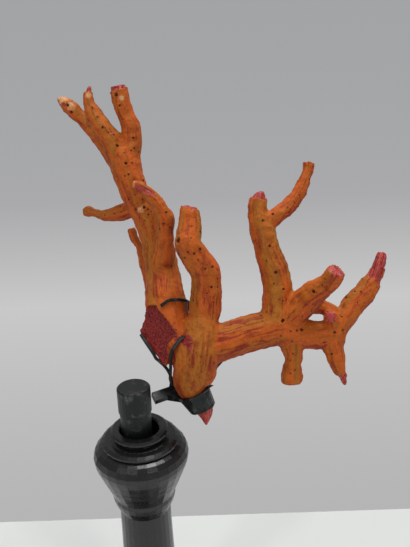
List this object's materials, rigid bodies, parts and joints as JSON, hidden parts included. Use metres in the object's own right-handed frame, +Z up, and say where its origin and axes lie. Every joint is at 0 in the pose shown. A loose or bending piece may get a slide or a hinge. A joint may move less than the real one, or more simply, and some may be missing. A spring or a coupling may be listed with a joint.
{
  "type": "red coral branch on a stand",
  "caption": "Branch of red coral with bare broken tips, gripped by a dark metal mount whose peg stands in a turned black wood stand.",
  "frame": {"origin": "middle of the round foot's flat underside, on the stand's axis", "axes": "+Z up along the stand's axis; +Y away from the viewer; +X to the viewer's right, the side that the long right limb reaches towards"},
  "size_m": [0.1463, 0.1132, 0.2524],
  "materials": {
    "coral": "matt burnt-orange crust with pits and streaks, darker red beneath, and bare pink-red broken ends",
    "mount_metal": "blackened metal with worn greyish-green edges, satin",
    "stand_wood": "ebonised turned wood, worn satin polish"
  },
  "bodies": {
    "root": {"coral_root": "coral", "coral_left_limb_lower": "coral", "coral_left_limb_upper": "coral", "coral_left_tip_right": "coral", "coral_left_tip_middle": "coral", "coral_left_tip_left": "coral", "coral_left_rear_twig": "coral", "coral_left_rear_spur": "coral", "coral_front_curl": "coral", "coral_front_limb": "coral", "coral_right_limb": "coral", "coral_riser": "coral", "coral_riser_twig": "coral", "coral_front_stub": "coral", "coral_right_fork": "coral", "coral_end_branch": "coral", "coral_lower_tip": "coral", "coral_hanging_stub": "coral", "mount_peg": "mount_metal", "mount_arm": "mount_metal", "mount_cup": "mount_metal", "mount_claw_left": "mount_metal", "mount_claw_middle": "mount_metal", "mount_claw_upper": "mount_metal", "mount_claw_right": "mount_metal", "stand_column": "stand_wood", "stand_foot": "stand_wood"}
  },
  "joints": []
}
